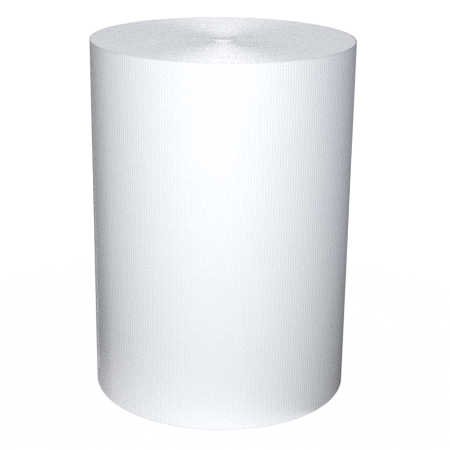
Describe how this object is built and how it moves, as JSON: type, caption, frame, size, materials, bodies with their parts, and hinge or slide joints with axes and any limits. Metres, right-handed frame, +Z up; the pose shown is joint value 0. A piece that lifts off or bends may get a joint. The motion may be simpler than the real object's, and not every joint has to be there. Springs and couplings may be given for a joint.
{
  "type": "air bubble film roll",
  "caption": "Large coreless roll of air bubble packing film, standing on end, with a round mandrel hole through it and a straight cut tail.",
  "frame": {"origin": "axis of the mandrel hole at the roll's lower end, on the floor", "axes": "+Z up along the mandrel hole, +Y towards the tail at the back, +X to the right seen from the front"},
  "size_m": [0.88, 0.882, 1.2192],
  "materials": {
    "film": "clear polyethylene film, milky white where many turns lie behind each other"
  },
  "bodies": {
    "root": {"film_roll": "film"}
  },
  "joints": []
}
